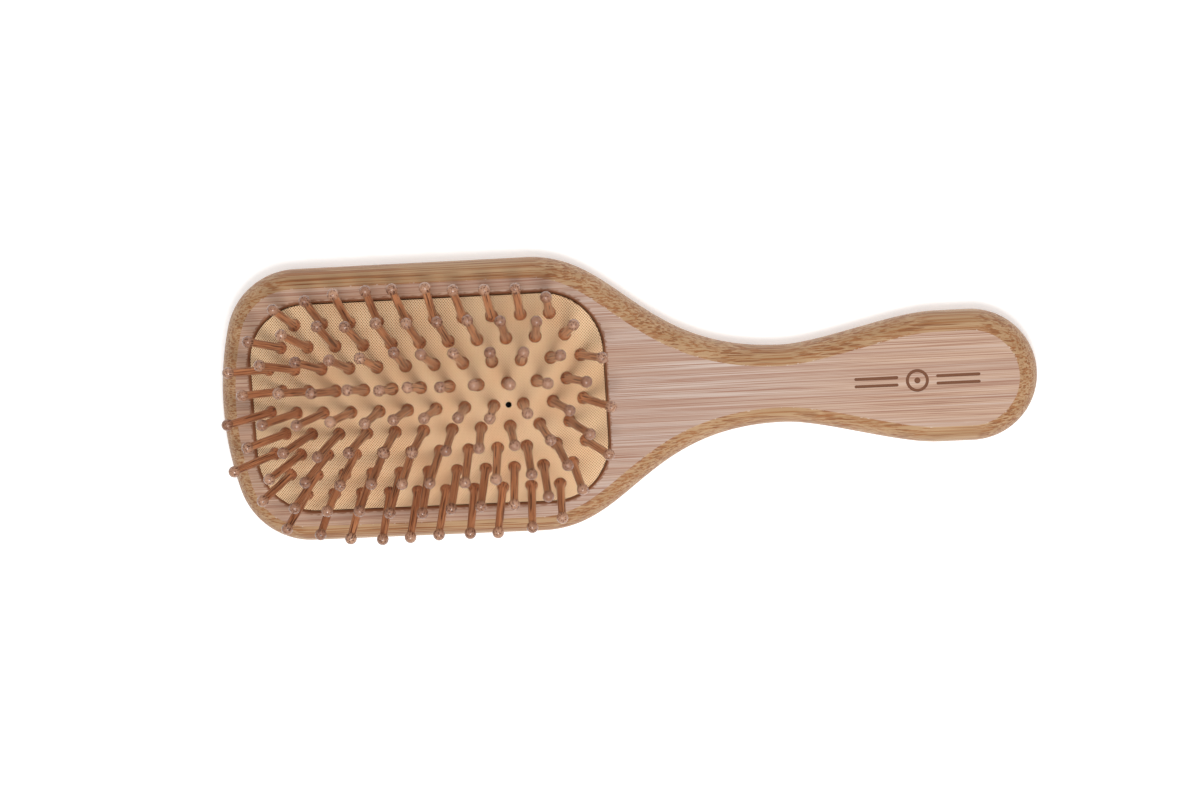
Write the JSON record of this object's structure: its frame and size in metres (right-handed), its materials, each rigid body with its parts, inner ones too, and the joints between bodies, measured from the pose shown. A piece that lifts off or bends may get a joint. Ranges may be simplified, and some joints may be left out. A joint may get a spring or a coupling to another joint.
{
  "type": "paddle brush",
  "caption": "Flat bamboo paddle brush with a domed rubber cushion in a rectangular head, staggered rows of ball-tipped bamboo pins and a waisted handle.",
  "frame": {"origin": "on the flat back face, under the middle of the cushion", "axes": "+X from the head towards the handle, +Y across the head, +Z out through the pins"},
  "size_m": [0.2474, 0.084, 0.0484],
  "materials": {
    "bamboo_board": "planed and finely sanded bamboo with rounded-over golden edges, satin oil finish",
    "textured_rubber": "matte peach rubber with a fine woven texture",
    "bamboo_pins": "turned carbonised bamboo, smooth with a slight gloss at the ball tips"
  },
  "bodies": {
    "paddle": {"paddle_body": "bamboo_board"},
    "cushion": {"cushion": "textured_rubber"},
    "row_1_middle": {"row_1_middle_pins": "bamboo_pins"},
    "row_1_outer": {"row_1_outer_pins": "bamboo_pins"},
    "row_1_end": {"row_1_end_pins": "bamboo_pins"},
    "row_2_middle": {"row_2_middle_pins": "bamboo_pins"},
    "row_2_outer": {"row_2_outer_pins": "bamboo_pins"},
    "row_2_end": {"row_2_end_pins": "bamboo_pins"},
    "row_3_middle": {"row_3_middle_pins": "bamboo_pins"},
    "row_3_outer": {"row_3_outer_pins": "bamboo_pins"},
    "row_3_end": {"row_3_end_pins": "bamboo_pins"},
    "row_4_middle": {"row_4_middle_pins": "bamboo_pins"},
    "row_4_outer": {"row_4_outer_pins": "bamboo_pins"},
    "row_4_end": {"row_4_end_pins": "bamboo_pins"},
    "row_5_middle": {"row_5_middle_pins": "bamboo_pins"},
    "row_5_outer": {"row_5_outer_pins": "bamboo_pins"},
    "row_5_end": {"row_5_end_pins": "bamboo_pins"},
    "row_6_middle": {"row_6_middle_pins": "bamboo_pins"},
    "row_6_outer": {"row_6_outer_pins": "bamboo_pins"},
    "row_6_end": {"row_6_end_pins": "bamboo_pins"},
    "row_7_middle": {"row_7_middle_pins": "bamboo_pins"},
    "row_7_outer": {"row_7_outer_pins": "bamboo_pins"},
    "row_7_end": {"row_7_end_pins": "bamboo_pins"},
    "row_8_middle": {"row_8_middle_pins": "bamboo_pins"},
    "row_8_outer": {"row_8_outer_pins": "bamboo_pins"},
    "row_8_end": {"row_8_end_pins": "bamboo_pins"},
    "row_9_middle": {"row_9_middle_pins": "bamboo_pins"},
    "row_9_outer": {"row_9_outer_pins": "bamboo_pins"},
    "row_9_end": {"row_9_end_pins": "bamboo_pins"}
  },
  "joints": [
    {"name": "cushion_press", "type": "slide", "parent": "paddle", "child": "cushion", "axis": [0, 0, -1], "range_m": [0, 0.003], "stiffness_N_per_m": 2000, "deforming": ["cushion"]},
    {"name": "row_1_lean", "type": "hinge", "parent": "cushion", "child": "row_1_middle", "pos_m": [0, 0.02584, 0.01797], "axis": [1, 0, 0], "range_deg": [-8, 8], "stiffness_Nm_per_rad": 0.12},
    {"name": "row_1_outer_lean", "type": "hinge", "parent": "cushion", "child": "row_1_outer", "pos_m": [0, 0.02584, 0.01736], "axis": [1, 0, 0], "range_deg": [-8, 8], "stiffness_Nm_per_rad": 0.04},
    {"name": "row_1_end_lean", "type": "hinge", "parent": "cushion", "child": "row_1_end", "pos_m": [0, 0.02584, 0.01655], "axis": [1, 0, 0], "range_deg": [-8, 8], "stiffness_Nm_per_rad": 0.04},
    {"name": "row_2_lean", "type": "hinge", "parent": "cushion", "child": "row_2_middle", "pos_m": [0, 0.01938, 0.02135], "axis": [1, 0, 0], "range_deg": [-8, 8], "stiffness_Nm_per_rad": 0.14},
    {"name": "row_2_outer_lean", "type": "hinge", "parent": "cushion", "child": "row_2_outer", "pos_m": [0, 0.01938, 0.01965], "axis": [1, 0, 0], "range_deg": [-8, 8], "stiffness_Nm_per_rad": 0.04},
    {"name": "row_2_end_lean", "type": "hinge", "parent": "cushion", "child": "row_2_end", "pos_m": [0, 0.01938, 0.01773], "axis": [1, 0, 0], "range_deg": [-8, 8], "stiffness_Nm_per_rad": 0.04},
    {"name": "row_3_lean", "type": "hinge", "parent": "cushion", "child": "row_3_middle", "pos_m": [0, 0.01292, 0.02359], "axis": [1, 0, 0], "range_deg": [-8, 8], "stiffness_Nm_per_rad": 0.16},
    {"name": "row_3_outer_lean", "type": "hinge", "parent": "cushion", "child": "row_3_outer", "pos_m": [0, 0.01292, 0.0204], "axis": [1, 0, 0], "range_deg": [-8, 8], "stiffness_Nm_per_rad": 0.04},
    {"name": "row_3_end_lean", "type": "hinge", "parent": "cushion", "child": "row_3_end", "pos_m": [0, 0.01292, 0.01723], "axis": [1, 0, 0], "range_deg": [-8, 8], "stiffness_Nm_per_rad": 0.04},
    {"name": "row_4_lean", "type": "hinge", "parent": "cushion", "child": "row_4_middle", "pos_m": [0, 0.00646, 0.02529], "axis": [1, 0, 0], "range_deg": [-8, 8], "stiffness_Nm_per_rad": 0.14},
    {"name": "row_4_outer_lean", "type": "hinge", "parent": "cushion", "child": "row_4_outer", "pos_m": [0, 0.00646, 0.02268], "axis": [1, 0, 0], "range_deg": [-8, 8], "stiffness_Nm_per_rad": 0.04},
    {"name": "row_4_end_lean", "type": "hinge", "parent": "cushion", "child": "row_4_end", "pos_m": [0, 0.00646, 0.01972], "axis": [1, 0, 0], "range_deg": [-8, 8], "stiffness_Nm_per_rad": 0.04},
    {"name": "row_5_lean", "type": "hinge", "parent": "cushion", "child": "row_5_middle", "pos_m": [0, 0, 0.02551], "axis": [1, 0, 0], "range_deg": [-8, 8], "stiffness_Nm_per_rad": 0.16},
    {"name": "row_5_outer_lean", "type": "hinge", "parent": "cushion", "child": "row_5_outer", "pos_m": [0, 0, 0.02169], "axis": [1, 0, 0], "range_deg": [-8, 8], "stiffness_Nm_per_rad": 0.04},
    {"name": "row_5_end_lean", "type": "hinge", "parent": "cushion", "child": "row_5_end", "pos_m": [0, 0, 0.01788], "axis": [1, 0, 0], "range_deg": [-8, 8], "stiffness_Nm_per_rad": 0.04},
    {"name": "row_6_lean", "type": "hinge", "parent": "cushion", "child": "row_6_middle", "pos_m": [0, -0.00646, 0.02529], "axis": [1, 0, 0], "range_deg": [-8, 8], "stiffness_Nm_per_rad": 0.14},
    {"name": "row_6_outer_lean", "type": "hinge", "parent": "cushion", "child": "row_6_outer", "pos_m": [0, -0.00646, 0.02268], "axis": [1, 0, 0], "range_deg": [-8, 8], "stiffness_Nm_per_rad": 0.04},
    {"name": "row_6_end_lean", "type": "hinge", "parent": "cushion", "child": "row_6_end", "pos_m": [0, -0.00646, 0.01972], "axis": [1, 0, 0], "range_deg": [-8, 8], "stiffness_Nm_per_rad": 0.04},
    {"name": "row_7_lean", "type": "hinge", "parent": "cushion", "child": "row_7_middle", "pos_m": [0, -0.01292, 0.02359], "axis": [1, 0, 0], "range_deg": [-8, 8], "stiffness_Nm_per_rad": 0.16},
    {"name": "row_7_outer_lean", "type": "hinge", "parent": "cushion", "child": "row_7_outer", "pos_m": [0, -0.01292, 0.0204], "axis": [1, 0, 0], "range_deg": [-8, 8], "stiffness_Nm_per_rad": 0.04},
    {"name": "row_7_end_lean", "type": "hinge", "parent": "cushion", "child": "row_7_end", "pos_m": [0, -0.01292, 0.01723], "axis": [1, 0, 0], "range_deg": [-8, 8], "stiffness_Nm_per_rad": 0.04},
    {"name": "row_8_lean", "type": "hinge", "parent": "cushion", "child": "row_8_middle", "pos_m": [0, -0.01938, 0.02135], "axis": [1, 0, 0], "range_deg": [-8, 8], "stiffness_Nm_per_rad": 0.14},
    {"name": "row_8_outer_lean", "type": "hinge", "parent": "cushion", "child": "row_8_outer", "pos_m": [0, -0.01938, 0.01965], "axis": [1, 0, 0], "range_deg": [-8, 8], "stiffness_Nm_per_rad": 0.04},
    {"name": "row_8_end_lean", "type": "hinge", "parent": "cushion", "child": "row_8_end", "pos_m": [0, -0.01938, 0.01773], "axis": [1, 0, 0], "range_deg": [-8, 8], "stiffness_Nm_per_rad": 0.04},
    {"name": "row_9_lean", "type": "hinge", "parent": "cushion", "child": "row_9_middle", "pos_m": [0, -0.02584, 0.01797], "axis": [1, 0, 0], "range_deg": [-8, 8], "stiffness_Nm_per_rad": 0.12},
    {"name": "row_9_outer_lean", "type": "hinge", "parent": "cushion", "child": "row_9_outer", "pos_m": [0, -0.02584, 0.01736], "axis": [1, 0, 0], "range_deg": [-8, 8], "stiffness_Nm_per_rad": 0.04},
    {"name": "row_9_end_lean", "type": "hinge", "parent": "cushion", "child": "row_9_end", "pos_m": [0, -0.02584, 0.01655], "axis": [1, 0, 0], "range_deg": [-8, 8], "stiffness_Nm_per_rad": 0.04}
  ],
  "couplings": [
    {"joint": "row_1_outer_lean", "follows": "row_1_lean", "ratio": 1},
    {"joint": "row_1_end_lean", "follows": "row_1_lean", "ratio": 1},
    {"joint": "row_2_outer_lean", "follows": "row_2_lean", "ratio": 1},
    {"joint": "row_2_end_lean", "follows": "row_2_lean", "ratio": 1},
    {"joint": "row_3_outer_lean", "follows": "row_3_lean", "ratio": 1},
    {"joint": "row_3_end_lean", "follows": "row_3_lean", "ratio": 1},
    {"joint": "row_4_outer_lean", "follows": "row_4_lean", "ratio": 1},
    {"joint": "row_4_end_lean", "follows": "row_4_lean", "ratio": 1},
    {"joint": "row_5_outer_lean", "follows": "row_5_lean", "ratio": 1},
    {"joint": "row_5_end_lean", "follows": "row_5_lean", "ratio": 1},
    {"joint": "row_6_outer_lean", "follows": "row_6_lean", "ratio": 1},
    {"joint": "row_6_end_lean", "follows": "row_6_lean", "ratio": 1},
    {"joint": "row_7_outer_lean", "follows": "row_7_lean", "ratio": 1},
    {"joint": "row_7_end_lean", "follows": "row_7_lean", "ratio": 1},
    {"joint": "row_8_outer_lean", "follows": "row_8_lean", "ratio": 1},
    {"joint": "row_8_end_lean", "follows": "row_8_lean", "ratio": 1},
    {"joint": "row_9_outer_lean", "follows": "row_9_lean", "ratio": 1},
    {"joint": "row_9_end_lean", "follows": "row_9_lean", "ratio": 1}
  ]
}
